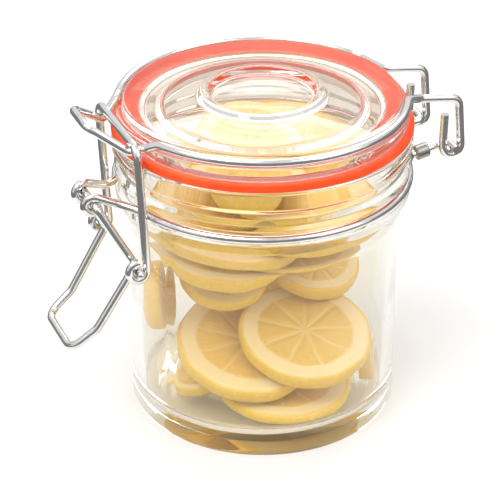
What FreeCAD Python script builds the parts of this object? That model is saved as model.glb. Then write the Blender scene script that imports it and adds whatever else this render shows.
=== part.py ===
import FreeCAD, Part
import math
import os

# Small clip-top preserve jar of clear glass, latched shut and filled with lemon slices.
# Millimetres. The origin is the centre of the foot, on the surface that the jar stands
# on. +Z is up, -Y is the latch side, +Y is the hinge side and X is the hinge axis.
# "out" below is a distance from the jar's axis towards the latch, so y is -out.

# Glass body
BODY_RADIUS = 31.0
BODY_WALL = 2.6
FLOOR_THICKNESS = 4.6
FOOT_CORNER = 2.6
FOOT_RING_INNER = 25.5
PUSH_UP = 1.6
LAND_HEIGHT = 69.6
SHOULDER_RADIUS = 33.4
GROOVE_RADIUS = 32.15
BEAD_RADIUS = 33.5
NECK_RADIUS = 32.6
RIM_RADIUS = 33.8
MOUTH_RADIUS = 27.6
# How far below the land each part of the neck lies
SHOULDER_START_DROP = 20.6
SHOULDER_LOW_DROP = 15.0
SHOULDER_TOP_DROP = 13.2
GROOVE_LOW_DROP = 12.6
GROOVE_TOP_DROP = 10.3
BEAD_LOW_DROP = 9.4
BEAD_TOP_DROP = 8.0
MOUTH_DROP = 7.6
RIM_DROP = 4.2

# Rubber ring and glass lid
GASKET_THICKNESS = 1.8
GASKET_INNER = 27.2
GASKET_OUTER = 33.9
GASKET_CORNER = 0.5
LID_FLANGE_RADIUS = 32.8
LID_FLANGE_HEIGHT = 3.65
LID_DISC_RADIUS = 31.25
LID_TOP_ABOVE_LEDGE = 1.85
LID_CROWN_THICKNESS = 4.3
PLUG_OUTER = 26.4
PLUG_INNER = 23.4
PLUG_DEPTH = 3.3
KNOB_RADIUS = 14.6
KNOB_HEIGHT = 1.4
KNOB_DISH_RADIUS = 11.4

# Wire closure
WIRE_RADIUS = 0.95
SEAT_GAP = 0.05
PIN_GAP = 0.2
TONGUE_GAP = 0.025
TONGUE_HALF = 4.9
TONGUE_SPREAD = 7.225
TONGUE_OUT = 42.6
TONGUE_RISE = 2.9
TONGUE_DIP = 2.9
HINGE_HALF = 8.8
HINGE_OUT = 43.4
HINGE_DROP = 9.6
HINGE_ARM_HALF = 6.4
HOOK_RADIUS = 2.4
HINGE_END = 11.4
HOOK_END_DROP = 1.3
LATCH_PIVOT_OUT = 41.3
LATCH_PIVOT_DROP = 10.4
LATCH_EYE_HALF = 3.2
KNEE_SIDE_GAP = 1.0
KNEE_CLEARANCE = 3.4
LEVER_KNEE_DROP = 23.7
LEVER_BEND_REACH = 9.2
LEVER_BEND_DROP = 38.4
LEVER_END_HALF = 8.2
LEVER_END_REACH = 15.2
LEVER_END_DROP = 42.9
LINK_SIDE_GAP = 2.1
LINK_OUT = 34.1
FERRULE_RADIUS = 1.75
FERRULE_START = 1.3
FERRULE_LENGTH = 3.2

# Heap of lemon slices, laid out from its front, which looks this far round from +X
HEAP_TURN = -22.5
# Most of the slices lie at one slope: their axis points this far above level, and this
# far from the heap's front towards its side
HEAP_RISE = 69.0
HEAP_SWING = 20.0

# The room that the heap was laid out for: it shrinks or grows with the jar's
HEAP_ROOM_RADIUS = 28.4
HEAP_ROOM_HEIGHT = 65.0

# Derived sizes
INNER_RADIUS = BODY_RADIUS - BODY_WALL
SHOULDER_START = LAND_HEIGHT - SHOULDER_START_DROP
GROOVE_LOW = LAND_HEIGHT - GROOVE_LOW_DROP
GROOVE_TOP = LAND_HEIGHT - GROOVE_TOP_DROP
BEAD_TOP = LAND_HEIGHT - BEAD_TOP_DROP
RIM_LOW = LAND_HEIGHT - RIM_DROP
NECK_WIRE_RING = GROOVE_RADIUS + WIRE_RADIUS + SEAT_GAP
NECK_WIRE_HEIGHT = 0.5 * (GROOVE_LOW + GROOVE_TOP) - SEAT_GAP
HINGE_HEIGHT = LAND_HEIGHT - HINGE_DROP
LATCH_PIVOT_HEIGHT = LAND_HEIGHT - LATCH_PIVOT_DROP
LEVER_KNEE_OUT = BODY_RADIUS + KNEE_CLEARANCE
LEVER_KNEE_HEIGHT = LAND_HEIGHT - LEVER_KNEE_DROP
LID_SEAT = LAND_HEIGHT + GASKET_THICKNESS
LID_LEDGE = LID_SEAT + LID_FLANGE_HEIGHT
LID_TOP = LID_LEDGE + LID_TOP_ABOVE_LEDGE
LID_CEILING = LID_TOP - LID_CROWN_THICKNESS
LID_WIRE_RING = LID_DISC_RADIUS + WIRE_RADIUS + SEAT_GAP
LID_WIRE_HEIGHT = LID_LEDGE + WIRE_RADIUS
TONGUE_LOW = LID_WIRE_HEIGHT - TONGUE_DIP
EYE_RADIUS = 2.0 * WIRE_RADIUS + PIN_GAP
TONGUE_FLANK = TONGUE_HALF + 4.0
LINK_TOP = TONGUE_LOW + 2.5 * WIRE_RADIUS + TONGUE_GAP
LINK_HALF = TONGUE_FLANK + 2.0 * WIRE_RADIUS + LINK_SIDE_GAP
LEVER_HALF = LINK_HALF - 2.0 * WIRE_RADIUS - KNEE_SIDE_GAP
TONGUE_ANGLE = math.degrees(math.asin((TONGUE_FLANK + TONGUE_SPREAD) / LID_WIRE_RING))
HEAP_SCALE = min(INNER_RADIUS / HEAP_ROOM_RADIUS,
                 (LAND_HEIGHT - FLOOR_THICKNESS) / HEAP_ROOM_HEIGHT)
HEAP_WALL = INNER_RADIUS / HEAP_SCALE


def at(side, out, height):
    return FreeCAD.Vector(side, -out, height)


def unit(vector):
    return vector * (1.0 / vector.Length)


def rounded_edges(vertices, radii):
    """Lines through the vertices, with an arc of each given radius at the inner ones."""
    edges = []
    start = vertices[0]
    for i in range(1, len(vertices) - 1):
        corner = vertices[i]
        before = unit(corner - vertices[i - 1])
        after = unit(vertices[i + 1] - corner)
        half_turn = 0.5 * before.getAngle(after)
        reach = radii[i - 1] * math.tan(half_turn)
        inward = unit(after - before)
        first = corner - before * reach
        last = corner + after * reach
        middle = corner + inward * (radii[i - 1] * (1.0 / math.cos(half_turn) - 1.0))
        if (first - start).Length > 1e-4:
            edges.append(Part.makeLine(start, first))
        edges.append(Part.Arc(first, middle, last).toShape())
        start = last
    if (vertices[-1] - start).Length > 1e-4:
        edges.append(Part.makeLine(start, vertices[-1]))
    return edges


def ring_arc(radius, height, angle_from_latch, angle_from_hinge):
    """Arc on the +X side, from an angle off the latch side to one off the hinge side."""
    points = []
    first = math.radians(angle_from_latch)
    last = math.radians(180.0 - angle_from_hinge)
    for angle in (first, 0.5 * (first + last), last):
        points.append(at(radius * math.sin(angle), radius * math.cos(angle), height))
    return Part.Arc(points[0], points[1], points[2]).toShape()


def ring_end(radius, height, angle, lead):
    """End of the ring at an angle off the Y axis, and a point a lead further along it."""
    turn = math.radians(angle)
    end = at(radius * math.sin(turn), radius * math.cos(turn), height)
    onward = at(-math.cos(turn), math.sin(turn), 0.0)
    return end, end + onward * lead


def to_hinge_side(point):
    return FreeCAD.Vector(point.x, -point.y, point.z)


def swept(edges):
    """Round wire along the edges."""
    path = Part.Wire(edges)
    first = path.OrderedEdges[0]
    start = first.valueAt(first.FirstParameter)
    along = first.tangentAt(first.FirstParameter)
    if (start - path.OrderedVertexes[0].Point).Length > 1e-4:
        start = first.valueAt(first.LastParameter)
        along = first.tangentAt(first.LastParameter) * -1.0
    section = Part.Wire([Part.makeCircle(WIRE_RADIUS, start, along)])
    return path.makePipeShell([section], True, False)


def both_sides(half):
    """The half on the +X side, joined to its mirror image."""
    other = half.mirror(FreeCAD.Vector(0, 0, 0), FreeCAD.Vector(1, 0, 0))
    return half.fuse(other).removeSplitter()


def turned(corners):
    """Solid of revolution from (radius, height, corner radius) points, first two on the axis."""
    vertices = [FreeCAD.Vector(c[0], 0, c[1]) for c in corners]
    radii = [c[2] for c in corners]
    edges = rounded_edges(vertices, radii[1:-1])
    edges.append(Part.makeLine(vertices[-1], vertices[0]))
    face = Part.Face(Part.Wire(edges))
    return face.revolve(FreeCAD.Vector(0, 0, 0), FreeCAD.Vector(0, 0, 1), 360)


def jar_glass():
    return turned([
        (0.0, PUSH_UP, 0.0),
        (FOOT_RING_INNER - 3.5, PUSH_UP, 1.5),
        (FOOT_RING_INNER, 0.0, 1.5),
        (BODY_RADIUS, 0.0, FOOT_CORNER),
        (BODY_RADIUS, SHOULDER_START, 6.0),
        (SHOULDER_RADIUS, LAND_HEIGHT - SHOULDER_LOW_DROP, 1.5),
        (SHOULDER_RADIUS, LAND_HEIGHT - SHOULDER_TOP_DROP, 0.5),
        (GROOVE_RADIUS, GROOVE_LOW, 0.5),
        (GROOVE_RADIUS, GROOVE_TOP, 0.5),
        (BEAD_RADIUS, LAND_HEIGHT - BEAD_LOW_DROP, 0.5),
        (BEAD_RADIUS, BEAD_TOP, 0.6),
        (NECK_RADIUS, BEAD_TOP + 1.1, 0.6),
        (NECK_RADIUS, RIM_LOW - 1.2, 0.6),
        (RIM_RADIUS, RIM_LOW, 0.7),
        (RIM_RADIUS, LAND_HEIGHT, 0.9),
        (MOUTH_RADIUS, LAND_HEIGHT, 0.9),
        (MOUTH_RADIUS, LAND_HEIGHT - MOUTH_DROP, 6.0),
        (INNER_RADIUS, LAND_HEIGHT - SHOULDER_LOW_DROP + 0.4, 6.0),
        (INNER_RADIUS, FLOOR_THICKNESS, 4.0),
        (0.0, FLOOR_THICKNESS, 0.0),
    ])


def gasket():
    return turned_ring(GASKET_INNER, GASKET_OUTER, LAND_HEIGHT, LID_SEAT, GASKET_CORNER)


def turned_ring(inner, outer, low, high, corner):
    """Ring of rectangular section with rounded corners."""
    middle = 0.5 * (low + high)
    vertices = [
        FreeCAD.Vector(inner, 0, middle),
        FreeCAD.Vector(inner, 0, low),
        FreeCAD.Vector(outer, 0, low),
        FreeCAD.Vector(outer, 0, high),
        FreeCAD.Vector(inner, 0, high),
        FreeCAD.Vector(inner, 0, middle),
    ]
    face = Part.Face(Part.Wire(rounded_edges(vertices, [corner] * 4)))
    return face.revolve(FreeCAD.Vector(0, 0, 0), FreeCAD.Vector(0, 0, 1), 360)


def lid_glass():
    return turned([
        (0.0, LID_CEILING, 0.0),
        (PLUG_INNER - 0.8, LID_CEILING, 1.2),
        (PLUG_INNER, LID_SEAT - PLUG_DEPTH, 0.7),
        (PLUG_OUTER, LID_SEAT - PLUG_DEPTH, 0.9),
        (PLUG_OUTER + 0.5, LID_SEAT, 0.5),
        (LID_FLANGE_RADIUS, LID_SEAT, 0.8),
        (LID_FLANGE_RADIUS, LID_LEDGE, 1.0),
        (LID_DISC_RADIUS, LID_LEDGE, 0.3),
        (LID_DISC_RADIUS, LID_TOP, 1.1),
        (KNOB_RADIUS, LID_TOP, 0.9),
        (KNOB_RADIUS - 0.9, LID_TOP + KNOB_HEIGHT, 0.6),
        (KNOB_DISH_RADIUS + 0.8, LID_TOP + KNOB_HEIGHT, 0.6),
        (KNOB_DISH_RADIUS, LID_TOP - 0.3, 0.8),
        (0.0, LID_TOP - 0.3, 0.0),
    ])


def lid_wire():
    end, lead = ring_end(LID_WIRE_RING, LID_WIRE_HEIGHT, TONGUE_ANGLE, 3.2)
    hinge_end, hinge_lead = ring_end(LID_WIRE_RING, LID_WIRE_HEIGHT, 30.0, 3.2)
    tongue = rounded_edges([
        at(0.0, TONGUE_OUT, LID_WIRE_HEIGHT + TONGUE_RISE),
        at(TONGUE_HALF, TONGUE_OUT, LID_WIRE_HEIGHT + TONGUE_RISE),
        at(TONGUE_FLANK, LINK_OUT + 0.4, TONGUE_LOW),
        lead,
        end,
    ], [3.0, 2.2, 4.0])
    hook_out = -HINGE_OUT - HOOK_RADIUS
    hook_in = -HINGE_OUT + HOOK_RADIUS
    hook_low = HINGE_HEIGHT - EYE_RADIUS
    hinge = rounded_edges([
        to_hinge_side(hinge_end),
        to_hinge_side(hinge_lead),
        at(HINGE_HALF, -34.6, LID_WIRE_HEIGHT - 2.6),
        at(HINGE_HALF, hook_out + 1.2, LID_WIRE_HEIGHT - 4.1),
        at(HINGE_HALF, hook_out, hook_low),
        at(HINGE_HALF, hook_in, hook_low),
        at(HINGE_HALF, hook_in - 0.2, LAND_HEIGHT - HOOK_END_DROP),
    ], [4.0, 2.4, 2.6, HOOK_RADIUS - 0.3, HOOK_RADIUS - 0.3])
    ring = ring_arc(LID_WIRE_RING, LID_WIRE_HEIGHT, TONGUE_ANGLE, 30.0)
    return both_sides(swept(tongue + [ring] + hinge))


def neck_wire():
    latch_end, latch_lead = ring_end(NECK_WIRE_RING, NECK_WIRE_HEIGHT, 20.0, 3.4)
    hinge_end, hinge_lead = ring_end(NECK_WIRE_RING, NECK_WIRE_HEIGHT, 22.0, 3.6)
    eye_out = LATCH_PIVOT_OUT + EYE_RADIUS
    eye_low = LATCH_PIVOT_HEIGHT - EYE_RADIUS
    eye = rounded_edges([
        at(0.0, eye_out - 3.7, eye_low),
        at(LATCH_EYE_HALF, eye_out - 3.7, eye_low),
        at(LATCH_EYE_HALF, eye_out, eye_low),
        at(LATCH_EYE_HALF, eye_out, LATCH_PIVOT_HEIGHT + 2.0 * EYE_RADIUS - 1.32),
        at(LATCH_EYE_HALF + 1.8, 35.9, LATCH_PIVOT_HEIGHT + 2.0 * EYE_RADIUS - 4.5),
        latch_lead,
        latch_end,
    ], [1.4, EYE_RADIUS - 0.02, EYE_RADIUS, 3.0, 4.0])
    arm = rounded_edges([
        to_hinge_side(hinge_end),
        to_hinge_side(hinge_lead),
        arm_start(),
        arm_corner(),
        at(HINGE_END, -HINGE_OUT, HINGE_HEIGHT),
    ], [2.4, 1.2, 1.6])
    ring = ring_arc(NECK_WIRE_RING, NECK_WIRE_HEIGHT, 20.0, 22.0)
    return both_sides(swept(eye + [ring] + arm))


def arm_start():
    return at(HINGE_ARM_HALF, -34.0, NECK_WIRE_HEIGHT)


def arm_corner():
    return at(HINGE_ARM_HALF, -HINGE_OUT, HINGE_HEIGHT)


def neck_ferrules():
    """Crimped sleeves that hold the neck wire where its two ends leave the ring."""
    along = unit(arm_corner() - arm_start())
    start = arm_start() + along * FERRULE_START
    sleeve = Part.makeCylinder(FERRULE_RADIUS, FERRULE_LENGTH, start, along)
    sleeve = sleeve.makeFillet(0.4, [sleeve.Edges[0], sleeve.Edges[2]])
    bore = Part.makeCylinder(WIRE_RADIUS + 0.02, FERRULE_LENGTH, start, along)
    half = sleeve.cut(bore)
    other = half.mirror(FreeCAD.Vector(0, 0, 0), FreeCAD.Vector(1, 0, 0))
    return Part.makeCompound([half, other])


def knee_pin_out():
    """Centre of the bent knee, which lies inside the sharp corner of its two legs."""
    return LEVER_KNEE_OUT + 0.3


def link():
    pin_out = knee_pin_out()
    low = LEVER_KNEE_HEIGHT - EYE_RADIUS
    high = LEVER_KNEE_HEIGHT + EYE_RADIUS
    half = rounded_edges([
        at(0.0, LINK_OUT, LINK_TOP),
        at(LINK_HALF, LINK_OUT, LINK_TOP),
        at(LINK_HALF, pin_out - EYE_RADIUS, low),
        at(LINK_HALF, pin_out + EYE_RADIUS, low),
        at(LINK_HALF, pin_out + EYE_RADIUS, high),
        at(LINK_HALF, pin_out - 0.15, high),
    ], [3.2, EYE_RADIUS - 0.1, EYE_RADIUS - 0.01, EYE_RADIUS - 0.02])
    return both_sides(swept(half))


def lever():
    end_out = LEVER_KNEE_OUT + LEVER_END_REACH
    end_height = LAND_HEIGHT - LEVER_END_DROP
    half = swept(rounded_edges([
        at(0.0, LATCH_PIVOT_OUT, LATCH_PIVOT_HEIGHT),
        at(LATCH_EYE_HALF + 2.2, LATCH_PIVOT_OUT, LATCH_PIVOT_HEIGHT),
        at(LEVER_HALF, LEVER_KNEE_OUT, LEVER_KNEE_HEIGHT),
        at(LEVER_HALF - 0.8, LEVER_KNEE_OUT + LEVER_BEND_REACH, LAND_HEIGHT - LEVER_BEND_DROP),
        at(LEVER_END_HALF, end_out, end_height),
        at(0.0, end_out, end_height),
    ], [1.6, 2.0, 4.0, 3.2]))
    pin_start = at(LEVER_HALF - 0.2, knee_pin_out(), LEVER_KNEE_HEIGHT)
    pin_length = LINK_HALF + WIRE_RADIUS + 0.8 - (LEVER_HALF - 0.2)
    pin = Part.makeCylinder(WIRE_RADIUS, pin_length, pin_start, FreeCAD.Vector(1, 0, 0))
    tip = Part.makeSphere(WIRE_RADIUS, pin_start + FreeCAD.Vector(pin_length, 0, 0))
    return both_sides(half.fuse([pin, tip]))


def lemon_slice(side, front, height, rise, swing, radius, thickness):
    """Round slice with a curved rind edge.

    side and front place its centre in the heap, rise is how far its axis points above
    level and swing turns that axis from the heap's front towards its side.
    """
    half = 0.5 * thickness * HEAP_SCALE
    edge = radius * HEAP_SCALE
    rim = edge - 0.35 * half
    disc = Part.Wire([
        Part.makeLine(FreeCAD.Vector(0, 0, -half), FreeCAD.Vector(rim, 0, -half)),
        Part.Arc(FreeCAD.Vector(rim, 0, -half), FreeCAD.Vector(edge, 0, 0),
                 FreeCAD.Vector(rim, 0, half)).toShape(),
        Part.makeLine(FreeCAD.Vector(rim, 0, half), FreeCAD.Vector(0, 0, half)),
        Part.makeLine(FreeCAD.Vector(0, 0, half), FreeCAD.Vector(0, 0, -half)),
    ])
    solid = Part.Face(disc).revolve(FreeCAD.Vector(0, 0, 0), FreeCAD.Vector(0, 0, 1), 360)
    turn = math.radians(HEAP_TURN)
    front_axis = FreeCAD.Vector(math.cos(turn), math.sin(turn), 0)
    side_axis = FreeCAD.Vector(-math.sin(turn), math.cos(turn), 0)
    up = FreeCAD.Vector(0, 0, 1)
    level = math.cos(math.radians(rise))
    axis = (front_axis * (level * math.cos(math.radians(swing)))
            + side_axis * (level * math.sin(math.radians(swing)))
            + up * math.sin(math.radians(rise)))
    centre = (side_axis * side + front_axis * front + up * (height - FLOOR_THICKNESS)) * HEAP_SCALE
    centre = centre + up * FLOOR_THICKNESS
    solid.Placement = FreeCAD.Placement(centre, FreeCAD.Rotation(up, axis))
    return solid


# name: side, front, height, rise, swing, radius, thickness
SLICES = {
    "lemon_floor": (5.0, 9.0, 6.6, 90.0, 0.0, 15.3, 3.2),
    "lemon_floor_small": (-15.0, 8.0, 8.9, 70.0, -60.0, 6.5, 3.4),
    "lemon_low_left": (-3.8, 6.5, 16.7, HEAP_RISE, HEAP_SWING, 16.5, 5.0),
    "lemon_low_right": (9.5, 7.6, 20.1, HEAP_RISE, HEAP_SWING, 15.3, 5.0),
    "lemon_middle_low": (-9.0, -2.0, 31.1, HEAP_RISE, HEAP_SWING, 10.6, 4.0),
    "lemon_middle_right": (12.0, -8.0, 31.1, HEAP_RISE, HEAP_SWING, 11.0, 5.0),
    "lemon_middle_left": (-8.2, -4.4, 36.9, HEAP_RISE, HEAP_SWING, 10.5, 5.0),
    "lemon_middle_back": (-9.0, 0.0, 41.1, HEAP_RISE, HEAP_SWING, 15.5, 5.0),
    "lemon_middle_front": (6.5, -3.0, 45.7, HEAP_RISE, HEAP_SWING, 14.0, 5.0),
    "lemon_neck_left": (-8.0, 0.0, 52.2, HEAP_RISE, HEAP_SWING, 17.5, 5.0),
    "lemon_neck_right": (8.5, -2.0, 56.2, HEAP_RISE, HEAP_SWING, 17.5, 5.0),
    "lemon_top": (-3.0, 2.0, 61.8, HEAP_RISE, HEAP_SWING, 13.0, 5.0),
    "lemon_wall_left": (4.6 - HEAP_WALL, 2.0, 27.5, 8.0, 85.0, 8.4, 4.2),
    "lemon_wall_right": (HEAP_WALL - 4.2, 2.5, 10.9, 5.0, 80.0, 6.0, 4.0),
    "lemon_back_low": (0.0, -20.0, 20.4, 12.0, 0.0, 15.5, 4.8),
    "lemon_back_high": (2.0, -22.0, 48.7, 4.0, 0.0, 12.5, 4.8),
}

PIECES = {
    "jar_glass": jar_glass(),
    "gasket": gasket(),
    "lid_glass": lid_glass(),
    "lid_wire": lid_wire(),
    "neck_wire": neck_wire(),
    "neck_ferrules": neck_ferrules(),
    "link": link(),
    "lever": lever(),
}
for slice_name, slice_values in SLICES.items():
    PIECES[slice_name] = lemon_slice(*slice_values)

os.makedirs("parts", exist_ok=True)
for node, shape in PIECES.items():
    shape.exportStep("parts/" + node + ".step")
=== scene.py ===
"""Looks of a small clip-top glass jar that holds lemon slices."""

import logging
import math
import random
from dataclasses import dataclass
from enum import Enum
from typing import Any, Sequence

import bmesh
import bpy
import numpy as np
from mathutils import Matrix, Vector


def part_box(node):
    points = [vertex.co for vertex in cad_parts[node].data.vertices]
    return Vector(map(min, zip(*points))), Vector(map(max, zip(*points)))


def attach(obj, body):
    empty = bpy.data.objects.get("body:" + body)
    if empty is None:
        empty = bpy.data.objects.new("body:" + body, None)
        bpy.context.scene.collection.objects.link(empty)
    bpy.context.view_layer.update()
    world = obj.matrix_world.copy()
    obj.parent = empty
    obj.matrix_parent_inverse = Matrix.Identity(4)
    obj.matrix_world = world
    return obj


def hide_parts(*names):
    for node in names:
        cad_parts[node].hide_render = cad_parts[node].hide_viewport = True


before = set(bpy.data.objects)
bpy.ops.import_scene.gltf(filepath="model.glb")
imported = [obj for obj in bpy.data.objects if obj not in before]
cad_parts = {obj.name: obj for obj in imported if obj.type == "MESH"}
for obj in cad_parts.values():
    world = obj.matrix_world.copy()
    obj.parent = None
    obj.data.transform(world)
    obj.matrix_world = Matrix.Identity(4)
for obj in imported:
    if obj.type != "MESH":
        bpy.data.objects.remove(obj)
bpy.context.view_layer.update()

BODY = "root"
SLICE_MAP = "slice"

MM = 0.001
FULL_TURN = 2.0 * math.pi
MERGE_DISTANCE = 1e-7
ARC_STEP = math.radians(12.0)
FEWEST_ARC_STEPS = 3
ROUND_BEVEL = 0.5

log = logging.getLogger("jar")
Colour = tuple[float, float, float]
Corner = tuple[float, float, float]


class Slot(Enum):
    """Material slots of the record, which new_piece takes as an argument but does not use."""

    GLASS = "glass"
    GASKET = "gasket_rubber"
    LEMON = "lemon"


# ---------------------------------------------------------------- shader maths


@dataclass(frozen=True)
class Grain:
    """A noise pattern's fineness and detail."""

    scale: float
    detail: float


@dataclass(frozen=True)
class Ramp:
    """Two values between which a mask rises from 0 to 1."""

    low: float
    high: float


@dataclass(frozen=True)
class Relief:
    """A bump's strength, and its depth in metres."""

    strength: float
    depth: float


class Sock:
    """A shader socket that can be used in Python expressions."""

    def __init__(self, tree: "Tree", socket: Any) -> None:
        """Wraps one output socket of a tree."""
        self.tree = tree
        self.socket = socket

    def math(self, operation: str, *others: "Sock | float") -> "Sock":
        """Applies a Math node.

        Args:
            operation: the Math node's operation.
            others: the second and third inputs.

        Returns:
            The node's output.
        """
        values = {i: v for i, v in enumerate((self, *others))}
        return self.tree.node("ShaderNodeMath", {"operation": operation}, values)

    def __add__(self, other: "Sock | float") -> "Sock":
        """Sum."""
        return self.math("ADD", other)

    def __radd__(self, other: float) -> "Sock":
        """Sum with a number on the left."""
        return self.math("ADD", other)

    def __sub__(self, other: "Sock | float") -> "Sock":
        """Difference."""
        return self.math("SUBTRACT", other)

    def __rsub__(self, other: float) -> "Sock":
        """Difference with a number on the left."""
        return self.tree.number(other).math("SUBTRACT", self)

    def __mul__(self, other: "Sock | float") -> "Sock":
        """Product."""
        return self.math("MULTIPLY", other)

    def above(self, ramp: Ramp) -> "Sock":
        """Rises smoothly from 0 to 1 over a ramp.

        Args:
            ramp: where the rise starts and ends.

        Returns:
            The mask.
        """
        values = {"Value": self, "From Min": ramp.low, "From Max": ramp.high}
        settings = {"interpolation_type": "SMOOTHSTEP", "clamp": True}
        return self.tree.node("ShaderNodeMapRange", settings, values)

    def below(self, ramp: Ramp) -> "Sock":
        """Falls smoothly from 1 to 0 over a ramp."""
        return 1.0 - self.above(ramp)


class Tree:
    """A node tree that is emptied and built afresh."""

    MIX_LOW = 6
    MIX_HIGH = 7
    MIX_RESULT = 2

    def __init__(self, tree: bpy.types.NodeTree) -> None:
        """Takes a material's or a world's tree and empties it."""
        self.tree = tree
        self.tree.nodes.clear()

    def node(
        self,
        kind: str,
        settings: dict[str, Any] | None = None,
        values: dict[Any, Any] | None = None,
        out: str | int = 0,
    ) -> Sock:
        """Adds a node.

        Args:
            kind: the node's type.
            settings: properties of the node, set first.
            values: input name or index to a number, tuple or Sock.
            out: the output that is returned.

        Returns:
            The chosen output, which is empty on an output node.
        """
        made = self.tree.nodes.new(kind)
        for key, value in (settings or {}).items():
            setattr(made, key, value)
        for key, value in (values or {}).items():
            if isinstance(value, Sock):
                self.tree.links.new(value.socket, made.inputs[key])
            else:
                made.inputs[key].default_value = value
        return Sock(self, made.outputs[out] if made.outputs else None)

    def number(self, value: float) -> Sock:
        """A constant, for the left side of a reflected operator."""
        return self.node("ShaderNodeMath", {"operation": "ADD"}, {0: value, 1: 0.0})

    def mix(self, factor: Sock | float, low: Any, high: Any) -> Sock:
        """Mixes two colours.

        Args:
            factor: 0 for low and 1 for high.
            low: a colour or a Sock.
            high: a colour or a Sock.

        Returns:
            The mixed colour.
        """
        values = {"Factor": factor, self.MIX_LOW: rgba(low), self.MIX_HIGH: rgba(high)}
        return self.node("ShaderNodeMix", {"data_type": "RGBA"}, values, out=self.MIX_RESULT)

    def noise(self, place: Sock, grain: Grain) -> Sock:
        """Noise between about 0.3 and 0.7 at a place."""
        values = {"Vector": place, "Scale": grain.scale, "Detail": grain.detail}
        return self.node("ShaderNodeTexNoise", {}, values)

    def place(self) -> Sock:
        """Object coordinates, in metres."""
        return self.node("ShaderNodeTexCoord", out="Object")

    def component(self, vector: Sock, index: int) -> Sock:
        """The X, Y or Z of a vector, as index 0, 1 or 2."""
        return self.node("ShaderNodeSeparateXYZ", {}, {0: vector}, out=index)

    def ray(self, output: str) -> Sock:
        """One of Light Path's outputs."""
        return self.node("ShaderNodeLightPath", out=output)

    def bump(self, height: Sock, relief: Relief) -> Sock:
        """A normal from a height."""
        values = {"Height": height, "Strength": relief.strength, "Distance": relief.depth}
        return self.node("ShaderNodeBump", {}, values)

    def principled(self, values: dict[str, Any]) -> Sock:
        """A Principled shader."""
        return self.node("ShaderNodeBsdfPrincipled", {}, values)


class MaterialTree(Tree):
    """The node tree of a new material."""

    def __init__(self, name: str) -> None:
        """Makes the material.

        Args:
            name: the material's name.
        """
        self.material = bpy.data.materials.new(name)
        self.material.use_nodes = True
        super().__init__(self.material.node_tree)

    def finish(self, shader: Sock) -> bpy.types.Material:
        """Links the shader to the output and returns the material."""
        self.node("ShaderNodeOutputMaterial", {}, {"Surface": shader})
        return self.material


def rgba(value: Any) -> Any:
    """A colour with alpha, or the Sock as it is."""
    return value if isinstance(value, Sock) else (*value, 1.0)


# -------------------------------------------------------------------- finishes


@dataclass(frozen=True)
class ClearGlass:
    """Pressed clear glass, slightly uneven, that lets lamps reach what it holds.

    Light that has been thrown back more often than most_turns goes straight on, because
    it would otherwise end inside the thick base and leave a dark band. The base is tinted
    warm yellow: a painted glow that stands in for the lemons' light in the thick glass.
    """

    name: str = "clear_glass"
    tint: Colour = (0.89, 0.875, 0.825)
    # Painted glow: the base is tinted warm yellow up to the foot ramp's top, standing in for the
    # lemons' light in the thick glass.
    painted_glow_tint: Colour = (0.83, 0.72, 0.50)
    foot: Ramp = Ramp(0.0035, 0.009)
    lamp_tint: Colour = (0.98, 0.975, 0.965)
    ior: float = 1.5
    waves: Grain = Grain(55.0, 1.0)
    wave_relief: Relief = Relief(0.05, 0.002)
    most_turns: float = 2.5

    def material(self) -> bpy.types.Material:
        """Builds the material.

        Returns:
            Glass to the eye, and plain tinted clearness to shadow and diffuse rays.
        """
        t = MaterialTree(self.name)
        place = t.place()
        # 1 above the base's painted warm glow, 0 within it.
        above_glow = t.component(place, 2).above(self.foot)
        glass = t.principled({
            "Base Color": t.mix(above_glow, self.painted_glow_tint, self.tint),
            "Roughness": 0.0,
            "IOR": self.ior,
            "Transmission Weight": 1.0,
            "Normal": t.bump(t.noise(place, self.waves), self.wave_relief),
        })
        clear = t.node("ShaderNodeBsdfTransparent", {}, {"Color": rgba(self.lamp_tint)})
        trapped = t.ray("Glossy Depth").math("GREATER_THAN", self.most_turns)
        through = t.ray("Is Shadow Ray").math("MAXIMUM", t.ray("Is Diffuse Ray"))
        through = through.math("MAXIMUM", trapped)
        return t.finish(t.node("ShaderNodeMixShader", {}, {0: through, 1: glass, 2: clear}))


@dataclass(frozen=True)
class GasketRubber:
    """Orange-red rubber with a fine moulded grain."""

    name: str = "gasket_rubber"
    colour: Colour = (0.88, 0.07, 0.008)
    pale: Colour = (0.92, 0.11, 0.02)
    patches: Grain = Grain(140.0, 4.0)
    paling: Ramp = Ramp(0.45, 0.75)
    grain: Grain = Grain(2600.0, 2.0)
    grain_relief: Relief = Relief(0.15, 0.0001)
    roughness: float = 0.34
    grain_roughness: float = 0.18
    specular: float = 0.2
    glow: float = 0.2
    glow_depth: float = 0.001

    def material(self) -> bpy.types.Material:
        """Builds the material.

        Returns:
            The rubber.
        """
        t = MaterialTree(self.name)
        place = t.place()
        patches = t.noise(place, self.patches)
        grain = t.noise(place, self.grain)
        return t.finish(t.principled({
            "Base Color": t.mix(patches.above(self.paling), self.colour, self.pale),
            "Roughness": self.roughness + grain * self.grain_roughness,
            "Normal": t.bump(grain, self.grain_relief),
            "Specular IOR Level": self.specular,
            "Subsurface Weight": self.glow,
            "Subsurface Scale": self.glow_depth,
        }))


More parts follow.
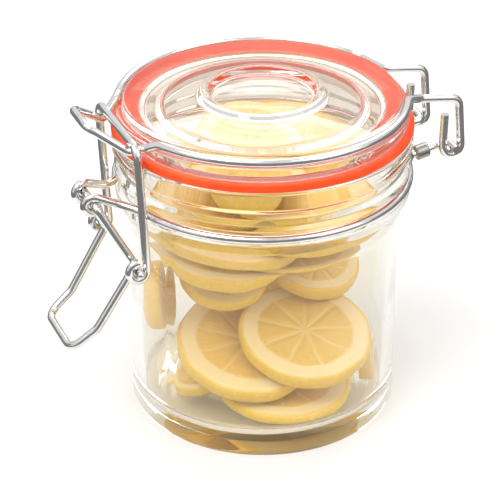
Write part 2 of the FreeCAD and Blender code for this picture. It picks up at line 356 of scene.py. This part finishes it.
@dataclass(frozen=True)
class DrawnWire:
    """Plated steel wire with faint drawing marks."""

    name: str
    colour: Colour
    roughness: float
    wear: Grain = Grain(420.0, 4.0)
    wearing: Ramp = Ramp(0.5, 0.8)
    wear_roughness: float = 0.1
    worn_share: float = 0.82
    grain: Grain = Grain(3800.0, 2.0)
    grain_relief: Relief = Relief(0.04, 0.0001)

    def material(self) -> bpy.types.Material:
        """Builds the material.

        Returns:
            The metal.
        """
        t = MaterialTree(self.name)
        place = t.place()
        wear = t.noise(place, self.wear)
        worn = tuple(self.worn_share * c for c in self.colour)
        return t.finish(t.principled({
            "Base Color": t.mix(wear.above(self.wearing), self.colour, worn),
            "Metallic": 1.0,
            "Roughness": self.roughness + wear * self.wear_roughness,
            "Normal": t.bump(t.noise(place, self.grain), self.grain_relief),
        }))


@dataclass(frozen=True)
class LemonFlesh:
    """Cut lemon, read from the slice's own map: rind, pith, segments and core.

    Distances are shares of the slice's radius.
    """

    name: str = "lemon_slice"
    rind: Colour = (0.79, 0.52, 0.05)
    pith: Colour = (0.86, 0.71, 0.37)
    flesh: Colour = (0.80, 0.57, 0.15)
    deep: Colour = (0.77, 0.50, 0.10)
    membrane: Colour = (0.83, 0.62, 0.20)
    segments: int = 9
    flesh_edge: float = 0.72
    rind_edge: float = 0.95
    blur: float = 0.03
    rind_blur: float = 0.02
    flesh_fade: float = 0.04
    membrane_width: Ramp = Ramp(0.015, 0.06)
    core_width: Ramp = Ramp(0.06, 0.13)
    wobble: Grain = Grain(130.0, 2.0)
    wobble_turn: float = 0.35
    wobble_out: float = 0.10
    pulp: Grain = Grain(3.2, 4.0)
    pulp_around: float = 9.0
    pulp_out: float = 2.5
    pulp_ripening: Ramp = Ramp(0.35, 0.7)
    zest: Grain = Grain(900.0, 3.0)
    zest_paling: Ramp = Ramp(0.4, 0.7)
    zest_share: float = 0.25
    pores: Grain = Grain(1500.0, 2.0)
    pore_share: float = 0.3
    relief: Relief = Relief(0.35, 0.0004)
    roughness: float = 0.42
    flesh_gloss: float = 0.14
    glow: float = 0.35
    glow_colour: Colour = (1.0, 0.65, 0.25)
    glow_depth: float = 0.0025

    def segment_colour(self, t: Tree, radius: Sock, turns: Sock, pulp: Sock) -> Sock:
        """Colours the flesh, the membranes between its segments, and the core.

        Args:
            t: the material's tree.
            radius: the distance from the slice's centre.
            turns: the direction about it, rising by 1 with each segment.
            pulp: noise drawn out along the segments.

        Returns:
            The colour.
        """
        across = turns.math("FRACT").math("SUBTRACT", 0.5).math("ABSOLUTE")
        wall = ((0.5 - across) * radius).below(self.membrane_width)
        core = radius.below(self.core_width)
        flesh = t.mix(pulp.above(self.pulp_ripening), self.deep, self.flesh)
        return t.mix(wall.math("MAXIMUM", core), flesh, self.membrane)

    def skin_colour(self, t: Tree, place: Sock) -> Sock:
        """Colours the rind, with faint pale spots.

        Args:
            t: the material's tree.
            place: object coordinates.

        Returns:
            The colour.
        """
        spots = t.noise(place, self.zest).above(self.zest_paling)
        return t.mix(self.zest_share, self.rind, t.mix(spots, self.rind, self.pith))

    def material(self) -> bpy.types.Material:
        """Builds the material.

        Returns:
            The cut lemon.
        """
        t = MaterialTree(self.name)
        uv = t.node("ShaderNodeUVMap", {"uv_map": SLICE_MAP})
        x = t.component(uv, 0) * 2.0 - 1.0
        y = t.component(uv, 1) * 2.0 - 1.0
        radius = (x * x + y * y).math("SQRT")
        angle = y.math("ARCTAN2", x)
        place = t.place()
        wobble = t.noise(place, self.wobble) - 0.5
        edge = radius + wobble * self.wobble_out
        turns = angle * (self.segments / FULL_TURN) + wobble * self.wobble_turn
        streaks = {0: angle * self.pulp_around, 1: radius * self.pulp_out, 2: 0.0}
        pulp = t.noise(t.node("ShaderNodeCombineXYZ", {}, streaks), self.pulp)

        to_pith = Ramp(self.flesh_edge - self.blur, self.flesh_edge + self.blur)
        to_skin = Ramp(self.rind_edge - self.blur, self.rind_edge + self.rind_blur)
        colour = self.segment_colour(t, radius, turns, pulp)
        colour = t.mix(edge.above(to_pith), colour, self.pith)
        colour = t.mix(edge.above(to_skin), colour, self.skin_colour(t, place))
        in_flesh = edge.below(Ramp(self.flesh_edge - self.flesh_fade, self.flesh_edge))
        height = pulp * in_flesh + t.noise(place, self.pores) * self.pore_share
        return t.finish(t.principled({
            "Base Color": colour,
            "Roughness": self.roughness - in_flesh * self.flesh_gloss,
            "Normal": t.bump(height, self.relief),
            "Subsurface Weight": self.glow,
            "Subsurface Radius": self.glow_colour,
            "Subsurface Scale": self.glow_depth,
        }))


@dataclass(frozen=True)
class FloorPaint:
    """Pale dull paint with faint clouds."""

    name: str = "white_floor"
    dark: Colour = (0.73, 0.73, 0.73)
    pale: Colour = (0.75, 0.75, 0.75)
    clouds: Grain = Grain(6.0, 3.0)
    roughness: float = 0.9

    def material(self) -> bpy.types.Material:
        """Builds the material.

        Returns:
            The paint.
        """
        t = MaterialTree(self.name)
        clouds = t.noise(t.place(), self.clouds)
        return t.finish(t.principled({
            "Base Color": t.mix(clouds, self.dark, self.pale),
            "Roughness": self.roughness,
            "Specular IOR Level": 0.0,
        }))


@dataclass(frozen=True)
class CardPaper:
    """Plain dull paper of one colour."""

    name: str
    colour: Colour

    def material(self) -> bpy.types.Material:
        """Builds the material."""
        t = MaterialTree(self.name)
        return t.finish(t.principled({"Base Color": rgba(self.colour), "Roughness": 1.0}))


# ------------------------------------------------------------------ mesh tools


def turn_full(bm: bmesh.types.BMesh, steps: int) -> None:
    """Turns everything in a mesh about the Z axis and closes the result.

    Args:
        bm: a profile of vertices and edges, which becomes a closed shell.
        steps: segments round the axis.
    """
    bmesh.ops.spin(
        bm,
        geom=bm.verts[:] + bm.edges[:],
        cent=(0, 0, 0),
        axis=(0, 0, 1),
        angle=FULL_TURN,
        steps=steps,
        use_merge=True,
    )
    bmesh.ops.remove_doubles(bm, verts=bm.verts, dist=MERGE_DISTANCE)
    bmesh.ops.recalc_face_normals(bm, faces=bm.faces)


def turned_mesh(corners: Sequence[Corner], closed: bool, steps: int) -> bmesh.types.BMesh:
    """Turns a profile about the Z axis.

    Args:
        corners: (radius, height, corner radius) in millimetres, in order.
        closed: whether the profile is a loop, or runs from the axis to the axis.
        steps: segments round the axis.

    Returns:
        A closed mesh in metres.
    """
    bm = bmesh.new()
    verts = [bm.verts.new((r * MM, 0.0, z * MM)) for r, z, _ in corners]
    pairs = list(zip(verts, verts[1:]))
    if closed:
        pairs.append((verts[-1], verts[0]))
    for a, b in pairs:
        bm.edges.new((a, b))
    for vert, (_, _, corner) in zip(verts, corners):
        if corner > 0.0:
            round_corner(bm, vert, corner * MM)
    turn_full(bm, steps)
    return bm


def round_corner(bm: bmesh.types.BMesh, vert: bmesh.types.BMVert, radius: float) -> None:
    """Replaces a corner of a wire profile by an arc.

    Args:
        bm: the profile's mesh.
        vert: the corner, which has two edges.
        radius: the arc's radius in metres.
    """
    ends = [e.other_vert(vert).co - vert.co for e in vert.link_edges]
    turn = math.pi - ends[0].angle(ends[1])
    bmesh.ops.bevel(
        bm,
        geom=[vert],
        offset=radius * math.tan(0.5 * turn),
        offset_type="OFFSET",
        segments=max(FEWEST_ARC_STEPS, round(turn / ARC_STEP)),
        profile=ROUND_BEVEL,
        affect="VERTICES",
        material=-1,
    )


def finished_mesh(name: str, bm: bmesh.types.BMesh) -> bpy.types.Mesh:
    """Writes a bmesh to a new mesh.

    Args:
        name: the mesh's name.
        bm: what it holds, which is freed.

    Returns:
        The mesh.
    """
    mesh = bpy.data.meshes.new(name)
    bm.to_mesh(mesh)
    bm.free()
    return mesh


def new_object(name: str, data: bpy.types.ID) -> bpy.types.Object:
    """Links a new object to the scene.

    Args:
        name: the object's name.
        data: its mesh, lamp or camera.

    Returns:
        The object, at the origin.
    """
    made = bpy.data.objects.new(name, data)
    bpy.context.scene.collection.objects.link(made)
    return made


def new_piece(name: str, bm: bmesh.types.BMesh, slot: Slot, *nodes: str) -> bpy.types.Object:
    """Makes a finished piece from a mesh.

    Args:
        name: the piece's name.
        bm: its mesh, which is freed.
        slot: the record's material slot; not used.
        nodes: the CAD nodes that the piece stands for.

    Returns:
        The object, at the origin and riding on the jar.
    """
    mesh = finished_mesh(name, bm)
    for polygon in mesh.polygons:
        polygon.use_smooth = True
    piece = new_object(name, mesh)
    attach(piece, BODY)
    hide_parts(*nodes)
    log.info("%s: %d faces", name, len(mesh.polygons))
    return piece


def dress(piece: bpy.types.Object, material: bpy.types.Material) -> None:
    """Gives a piece or a CAD node its only material."""
    piece.data.materials.clear()
    piece.data.materials.append(material)


# ----------------------------------------------------------------- jar and lid


@dataclass
class Glassware:
    """Jar body and lid of pressed glass, and the rubber ring between them.

    Sizes are in millimetres and the seams' angle is in degrees. The names that end in
    radius are measured from the axis. Each low, top, start, land, seat, ledge, ceiling,
    floor and dish is a height over the foot.
    """

    steps: int = 180
    base_rise: float = 1.6
    base_radius: float = 22.0
    foot_radius: float = 25.5
    floor: float = 4.6
    body_radius: float = 31.0
    inner_radius: float = 28.4
    inner_top: float = 55.0
    shoulder_start: float = 49.0
    shoulder_low: float = 54.6
    shoulder_top: float = 56.4
    shoulder_radius: float = 33.4
    groove_low: float = 57.0
    groove_top: float = 59.3
    groove_radius: float = 32.15
    bead_low: float = 60.2
    bead_top: float = 61.6
    bead_radius: float = 33.5
    neck_low: float = 62.7
    neck_top: float = 64.2
    neck_radius: float = 32.6
    rim_low: float = 65.4
    rim_radius: float = 33.8
    mouth_low: float = 62.0
    mouth_radius: float = 27.6
    land: float = 69.6
    gasket_inner_radius: float = 27.2
    gasket_outer_radius: float = 33.9
    gasket_corner: float = 0.5
    lid_seat: float = 71.4
    lid_radius: float = 32.8
    lid_ledge: float = 75.05
    lid_disc_radius: float = 31.25
    lid_top: float = 76.9
    lid_ceiling: float = 72.6
    ceiling_radius: float = 22.6
    plug_low: float = 68.1
    plug_inner_radius: float = 23.4
    plug_outer_radius: float = 26.4
    plug_root_radius: float = 26.9
    crown_top: float = 78.3
    crown_root_radius: float = 14.6
    crown_outer_radius: float = 13.7
    crown_inner_radius: float = 12.2
    dish: float = 76.6
    dish_radius: float = 11.4
    # Painted shade: the lid's glass is tinted darker and warmer than the body's, though both are
    # one glass, to dim the lid.
    lid_shade_tint: Colour = (0.81, 0.745, 0.68)
    seam_angle: float = -64.0
    seam_rise: float = 0.12
    seam_margin: float = 0.3
    seam_top: float = 48.0

    def body_profile(self) -> list[Corner]:
        """Lists the corners of the jar body.

        Returns:
            Corners from the base's centre round the outside to the floor's centre.
        """
        return [
            (0.0, self.base_rise, 0.0),
            (self.base_radius, self.base_rise, 1.5),
            (self.foot_radius, 0.0, 1.5),
            (self.body_radius, 0.0, 2.6),
            (self.body_radius, self.shoulder_start, 6.0),
            (self.shoulder_radius, self.shoulder_low, 1.5),
            (self.shoulder_radius, self.shoulder_top, 0.5),
            (self.groove_radius, self.groove_low, 0.5),
            (self.groove_radius, self.groove_top, 0.5),
            (self.bead_radius, self.bead_low, 0.5),
            (self.bead_radius, self.bead_top, 0.6),
            (self.neck_radius, self.neck_low, 0.6),
            (self.neck_radius, self.neck_top, 0.6),
            (self.rim_radius, self.rim_low, 0.7),
            (self.rim_radius, self.land, 0.9),
            (self.mouth_radius, self.land, 0.9),
            (self.mouth_radius, self.mouth_low, 6.0),
            (self.inner_radius, self.inner_top, 6.0),
            (self.inner_radius, self.floor, 4.0),
            (0.0, self.floor, 0.0),
        ]

    def lid_profile(self) -> list[Corner]:
        """Lists the corners of the lid.

        Returns:
            Corners from the ceiling's centre round the outside to the dish's centre.
        """
        return [
            (0.0, self.lid_ceiling, 0.0),
            (self.ceiling_radius, self.lid_ceiling, 1.2),
            (self.plug_inner_radius, self.plug_low, 0.7),
            (self.plug_outer_radius, self.plug_low, 0.9),
            (self.plug_root_radius, self.lid_seat, 0.5),
            (self.lid_radius, self.lid_seat, 0.8),
            (self.lid_radius, self.lid_ledge, 1.0),
            (self.lid_disc_radius, self.lid_ledge, 0.3),
            (self.lid_disc_radius, self.lid_top, 1.1),
            (self.crown_root_radius, self.lid_top, 0.9),
            (self.crown_outer_radius, self.crown_top, 0.6),
            (self.crown_inner_radius, self.crown_top, 0.6),
            (self.dish_radius, self.dish, 0.8),
            (0.0, self.dish, 0.0),
        ]

    def gasket_profile(self) -> list[Corner]:
        """Lists the corners of the rubber ring's section.

        Returns:
            The four corners in order.
        """
        return [
            (self.gasket_inner_radius, self.land, self.gasket_corner),
            (self.gasket_outer_radius, self.land, self.gasket_corner),
            (self.gasket_outer_radius, self.lid_seat, self.gasket_corner),
            (self.gasket_inner_radius, self.lid_seat, self.gasket_corner),
        ]

    def raise_seam(self, bm: bmesh.types.BMesh) -> None:
        """Raises the two thin seams that the mould's halves leave on the body.

        Args:
            bm: the body's mesh.
        """
        half_step = math.pi / self.steps
        for vert in bm.verts:
            radius = math.hypot(vert.co.x, vert.co.y)
            inside = radius < (self.body_radius - self.seam_margin) * MM
            if inside or vert.co.z > self.seam_top * MM:
                continue
            turn = math.atan2(vert.co.y, vert.co.x) - math.radians(self.seam_angle)
            off = math.remainder(turn, math.pi)
            if abs(off) < half_step:
                scale = 1.0 + self.seam_rise * MM / radius
                vert.co.x *= scale
                vert.co.y *= scale

    def build(self) -> None:
        """Builds and dresses the three pieces."""
        glass = ClearGlass().material()
        body = turned_mesh(self.body_profile(), False, self.steps)
        self.raise_seam(body)
        dress(new_piece("jar_body", body, Slot.GLASS, "jar_glass"), glass)
        lid = turned_mesh(self.lid_profile(), False, self.steps)
        # The lid's darker tint is painted shade, not a different glass.
        lid_glass = ClearGlass("lid_glass_shaded", tint=self.lid_shade_tint).material()
        dress(new_piece("jar_lid", lid, Slot.GLASS, "lid_glass"), lid_glass)
        ring = turned_mesh(self.gasket_profile(), True, self.steps)
        dress(new_piece("rubber_ring", ring, Slot.GASKET, "gasket"), GasketRubber().material())


@dataclass
class Closure:
    """Wires and sleeves of the clip, which keep their CAD shapes."""

    wires: tuple[str, ...] = ("lid_wire", "neck_wire", "link", "lever")
    sleeves: str = "neck_ferrules"
    bright: DrawnWire = DrawnWire("bright_wire", (0.80, 0.80, 0.79), 0.07)
    dull: DrawnWire = DrawnWire("dull_steel", (0.36, 0.35, 0.33), 0.3)

    def dress(self) -> None:
        """Gives each node its metal."""
        bright = self.bright.material()
        for node in self.wires:
            dress(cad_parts[node], bright)
            log.info("%s: dressed", node)
        dress(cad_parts[self.sleeves], self.dull.material())
        log.info("%s: dressed", self.sleeves)


# --------------------------------------------------------------- lemon slices


@dataclass
class SliceMesh:
    """One lemon slice, shaped flat about Z and then laid where its CAD disc lies.

    The edges, widths and fades are shares of the slice's radius. The rise of the segments'
    walls and the sink of their flesh are shares of half its thickness.
    """

    node: str
    rng: random.Random
    segments: int = 9
    around: int = 108
    rings: int = 16
    edge_steps: int = 6
    face_edge: float = 0.955
    edge_bulge: float = 0.045
    thinner: float = 0.80
    relief_edge: float = 0.74
    relief_fade: float = 0.08
    flesh_sink: float = 0.20
    inner_rise: float = 0.16
    wall_width: float = 0.10
    face_share: float = 0.95
    bend_share: float = 0.9
    least_squash: float = 0.015
    most_squash: float = 0.035
    notch: float = 0.006

    def placing(self) -> tuple[Matrix, float, float]:
        """Finds the CAD disc.

        Returns:
            The matrix from the flat slice to its place, the radius and the thickness.
        """
        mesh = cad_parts[self.node].data
        points = np.array([v.co for v in mesh.vertices])
        low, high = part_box(self.node)
        centre = 0.5 * (low + high)
        away = points - np.array(centre)
        _, vectors = np.linalg.eigh(away.T @ away)
        axis = Vector(vectors[:, 0])
        if axis.z < 0.0:
            axis = -axis
        along = away @ np.array(axis)
        flat = away - np.outer(along, np.array(axis))
        radius = float(np.sqrt((flat**2).sum(1)).max())
        turn = axis.to_track_quat("Z", "Y").to_matrix().to_4x4()
        spin = Matrix.Rotation(self.rng.uniform(0.0, FULL_TURN), 4, "Z")
        return Matrix.Translation(centre) @ turn @ spin, radius, float(np.ptp(along))

    def disc(self, radius: float, half: float) -> bmesh.types.BMesh:
        """Makes a flat disc with a bulging edge.

        Args:
            radius: the disc's radius.
            half: half its thickness.

        Returns:
            The disc about the origin.
        """
        bm = bmesh.new()
        outwards = [radius * self.face_edge * i / self.rings for i in range(1, self.rings + 1)]
        section = [bm.verts.new((0.0, 0.0, half))]
        section += [bm.verts.new((out, 0.0, half)) for out in outwards]
        for i in range(1, self.edge_steps):
            turn = math.pi * i / self.edge_steps
            out = radius * (self.face_edge + self.edge_bulge * math.sin(turn))
            section.append(bm.verts.new((out, 0.0, half * math.cos(turn))))
        section += [bm.verts.new((out, 0.0, -half)) for out in reversed(outwards)]
        section.append(bm.verts.new((0.0, 0.0, -half)))
        for a, b in zip(section, section[1:]):
            bm.edges.new((a, b))
        turn_full(bm, self.around)
        return bm

    def lay_map(self, bm: bmesh.types.BMesh, radius: float) -> None:
        """Maps the disc seen along its axis onto a unit square.

        Args:
            bm: the disc's mesh.
            radius: the disc's radius.
        """
        layer = bm.loops.layers.uv.new(SLICE_MAP)
        for face in bm.faces:
            for loop in face.loops:
                co = loop.vert.co
                loop[layer].uv = (0.5 + 0.5 * co.x / radius, 0.5 + 0.5 * co.y / radius)

    def relief(self, radius: float, angle: float) -> float:
        """Finds how far the cut face lies above its plane.

        Args:
            radius: the distance from the slice's centre.
            angle: the direction about its axis.

        Returns:
            The height as a share of half the thickness.
        """
        if radius > self.relief_edge:
            return 0.0
        inward = min(1.0, (self.relief_edge - radius) / self.relief_fade)
        turn = angle * self.segments / FULL_TURN
        from_middle = abs((turn % 1.0) - 0.5)
        rise = min(1.0, (0.5 - from_middle) * radius / self.wall_width)
        return inward * (self.inner_rise * rise - self.flesh_sink)

    def shape(self, bm: bmesh.types.BMesh, radius: float, half: float, thickness: float) -> None:
        """Makes the disc uneven: relief on its faces, a bent plane and a wavy edge.

        Args:
            bm: the disc's mesh.
            radius: the disc's radius.
            half: half the disc's thickness.
            thickness: the thickness of the CAD disc, which leaves room for the bend.
        """
        room = 0.5 * thickness - half
        tilt = self.rng.uniform(0.0, math.pi)
        lobes = self.rng.uniform(0.0, math.pi)
        squash = self.rng.uniform(self.least_squash, self.most_squash)
        for vert in bm.verts:
            x, y, z = vert.co
            share = math.hypot(x, y) / radius
            angle = math.atan2(y, x)
            if abs(z) > self.face_share * half:
                z += math.copysign(half, z) * self.relief(share, angle)
            bend = room * self.bend_share * share * share * math.cos(2.0 * (angle - tilt))
            shrink = 1.0 - squash * (0.5 + 0.5 * math.cos(2.0 * angle + lobes))
            notches = 1.0 + math.cos(self.segments * angle + lobes)
            ripple = 1.0 - self.notch * notches * share
            vert.co = (x * shrink * ripple, y * shrink * ripple, z + bend)

    def build(self, material: bpy.types.Material) -> None:
        """Builds the slice and dresses it.

        Args:
            material: the cut lemon.
        """
        matrix, radius, thickness = self.placing()
        half = 0.5 * thickness * self.thinner
        bm = self.disc(radius, half)
        self.lay_map(bm, radius)
        self.shape(bm, radius, half, thickness)
        bmesh.ops.transform(bm, matrix=matrix, verts=bm.verts)
        dress(new_piece(self.node + "_slice", bm, Slot.LEMON, self.node), material)


@dataclass
class LemonHeap:
    """All the slices in the jar."""

    seed: int = 7
    prefix: str = "lemon_"

    def build(self) -> None:
        """Builds each slice in the order of its node's name."""
        material = LemonFlesh().material()
        rng = random.Random(self.seed)
        for node in sorted(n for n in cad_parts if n.startswith(self.prefix)):
            SliceMesh(node, rng).build(material)


# ---------------------------------------------------------------------- studio


def direction(around: float, up: float) -> Vector:
    """Points away from the jar.

    Args:
        around: degrees about the Z axis, from +X.
        up: degrees over the floor.

    Returns:
        The unit vector.
    """
    turn = math.radians(around)
    level = math.cos(math.radians(up))
    return Vector((level * math.cos(turn), level * math.sin(turn), math.sin(math.radians(up))))


def gloss_only(name: str, bm: bmesh.types.BMesh, colour: Colour) -> None:
    """Adds a card that only glossy rays see.

    Args:
        name: the card's name.
        bm: its mesh, which is freed.
        colour: its colour.
    """
    card = new_object(name, finished_mesh(name, bm))
    card.visible_camera = False
    card.visible_diffuse = False
    card.visible_shadow = False
    card.visible_transmission = False
    dress(card, CardPaper(name, colour).material())


@dataclass(frozen=True)
class Lamp:
    """A square lamp that faces the jar.

    It hangs some degrees to the right of the camera and over the floor. Its distance and
    side are in metres, and its power is in watts.
    """

    name: str
    around: float
    up: float
    far: float
    side: float
    watts: float

    def hang(self, azimuth: float) -> None:
        """Adds the lamp.

        Args:
            azimuth: the camera's direction in degrees.
        """
        data = bpy.data.lights.new(self.name, "AREA")
        data.size = self.side
        data.energy = self.watts
        lamp = new_object(self.name, data)
        towards = direction(azimuth + self.around, self.up)
        lamp.location = towards * self.far
        lamp.rotation_euler = towards.to_track_quat("Z", "Y").to_euler()


@dataclass(frozen=True)
class Card:
    """An upright dark card that stands on the floor and only shows in gloss.

    It stands some degrees to the right of the camera. Its other sizes are in metres.
    """

    name: str
    around: float
    width: float
    height: float
    far: float = 1.1
    colour: Colour = (0.22, 0.22, 0.22)

    def stand(self, azimuth: float) -> None:
        """Adds the card.

        Args:
            azimuth: the camera's direction in degrees.
        """
        turn = math.radians(azimuth + self.around)
        middle = (self.far * math.cos(turn), self.far * math.sin(turn), 0.5 * self.height)
        place = (
            Matrix.Translation(middle)
            @ Matrix.Rotation(turn, 4, "Z")
            @ Matrix.Rotation(0.5 * math.pi, 4, "Y")
            @ Matrix.Diagonal((self.height, self.width, 1.0, 1.0))
        )
        bm = bmesh.new()
        bmesh.ops.create_grid(bm, x_segments=1, y_segments=1, size=0.5)
        bmesh.ops.transform(bm, matrix=place, verts=bm.verts)
        gloss_only(self.name, bm, self.colour)


@dataclass(frozen=True)
class DarkTable:
    """A dark ring on the floor that only shows in gloss, with its sizes in metres."""

    name: str = "dark_table"
    inner: float = 0.1
    outer: float = 1.1
    height: float = 0.001
    segments: int = 64
    colour: Colour = (0.12, 0.115, 0.11)

    def lay(self) -> None:
        """Adds the ring."""
        bm = bmesh.new()
        bmesh.ops.create_circle(bm, segments=self.segments, radius=self.inner)
        rim = bmesh.ops.extrude_edge_only(bm, edges=bm.edges[:])["geom"]
        wider = self.outer / self.inner
        outer = [v for v in rim if isinstance(v, bmesh.types.BMVert)]
        bmesh.ops.scale(bm, vec=(wider, wider, 1.0), verts=outer)
        bmesh.ops.translate(bm, vec=(0.0, 0.0, self.height), verts=bm.verts)
        gloss_only(self.name, bm, self.colour)


@dataclass
class Studio:
    """Camera, lamps, world, floor and dark cards."""

    azimuth: float = -22.5
    elevation: float = 29.3
    distance: float = 0.4818
    aim_height: float = 0.0372
    lens: float = 150.0
    sensor_width: float = 36.0
    shift_x: float = -0.025
    far_clip: float = 50.0
    floor_radius: float = 4.0
    floor_segments: int = 96
    world_level: float = 0.75
    glass_level: float = 0.84
    lamps: tuple[Lamp, ...] = (
        Lamp("key", around=-50.0, up=60.0, far=1.2, side=0.7, watts=9.0),
        Lamp("fill", around=60.0, up=45.0, far=1.4, side=0.9, watts=6.0),
        Lamp("back", around=170.0, up=50.0, far=1.3, side=0.8, watts=6.0),
    )
    cards: tuple[Card, ...] = (
        Card("front_card", around=0.0, width=1.8, height=0.55),
        Card("left_card", around=-115.0, width=1.4, height=0.45),
        Card("right_card", around=115.0, width=1.4, height=0.45),
    )

    def camera(self) -> None:
        """Adds the camera."""
        data = bpy.data.cameras.new("camera")
        data.lens = self.lens
        data.sensor_width = self.sensor_width
        data.shift_x = self.shift_x
        data.clip_end = self.far_clip
        camera = new_object("camera", data)
        towards = direction(self.azimuth, self.elevation)
        camera.location = Vector((0.0, 0.0, self.aim_height)) + towards * self.distance
        camera.rotation_euler = towards.to_track_quat("Z", "Y").to_euler()
        bpy.context.scene.camera = camera

    def world(self) -> None:
        """Makes a white world that lights the jar at a plain level."""
        world = bpy.data.worlds.new("studio")
        bpy.context.scene.world = world
        world.use_nodes = True
        t = Tree(world.node_tree)
        shiny = t.ray("Is Transmission Ray").math("MAXIMUM", t.ray("Is Glossy Ray"))
        levels = {"Value": shiny, "To Min": self.world_level, "To Max": self.glass_level}
        level = t.node("ShaderNodeMapRange", {}, levels)
        strength = level.math("MAXIMUM", t.ray("Is Camera Ray"))
        white = {"Color": (1.0, 1.0, 1.0, 1.0), "Strength": strength}
        background = t.node("ShaderNodeBackground", {}, white)
        t.node("ShaderNodeOutputWorld", {}, {"Surface": background})

    def floor(self) -> None:
        """Adds the white floor."""
        bm = bmesh.new()
        bmesh.ops.create_circle(
            bm, cap_ends=True, segments=self.floor_segments, radius=self.floor_radius
        )
        floor = new_object("floor", finished_mesh("floor", bm))
        dress(floor, FloorPaint().material())

    def build(self) -> None:
        """Builds the studio."""
        self.camera()
        self.world()
        self.floor()
        for lamp in self.lamps:
            lamp.hang(self.azimuth)
        DarkTable().lay()
        for card in self.cards:
            card.stand(self.azimuth)
        bpy.context.scene.view_settings.view_transform = "Standard"


def main() -> None:
    """Builds every piece, dresses the nodes that stay and sets up the studio."""
    logging.basicConfig(level=logging.INFO, format="%(name)s: %(message)s")
    Glassware().build()
    Closure().dress()
    LemonHeap().build()
    Studio().build()


if __name__ == "__main__":
    main()
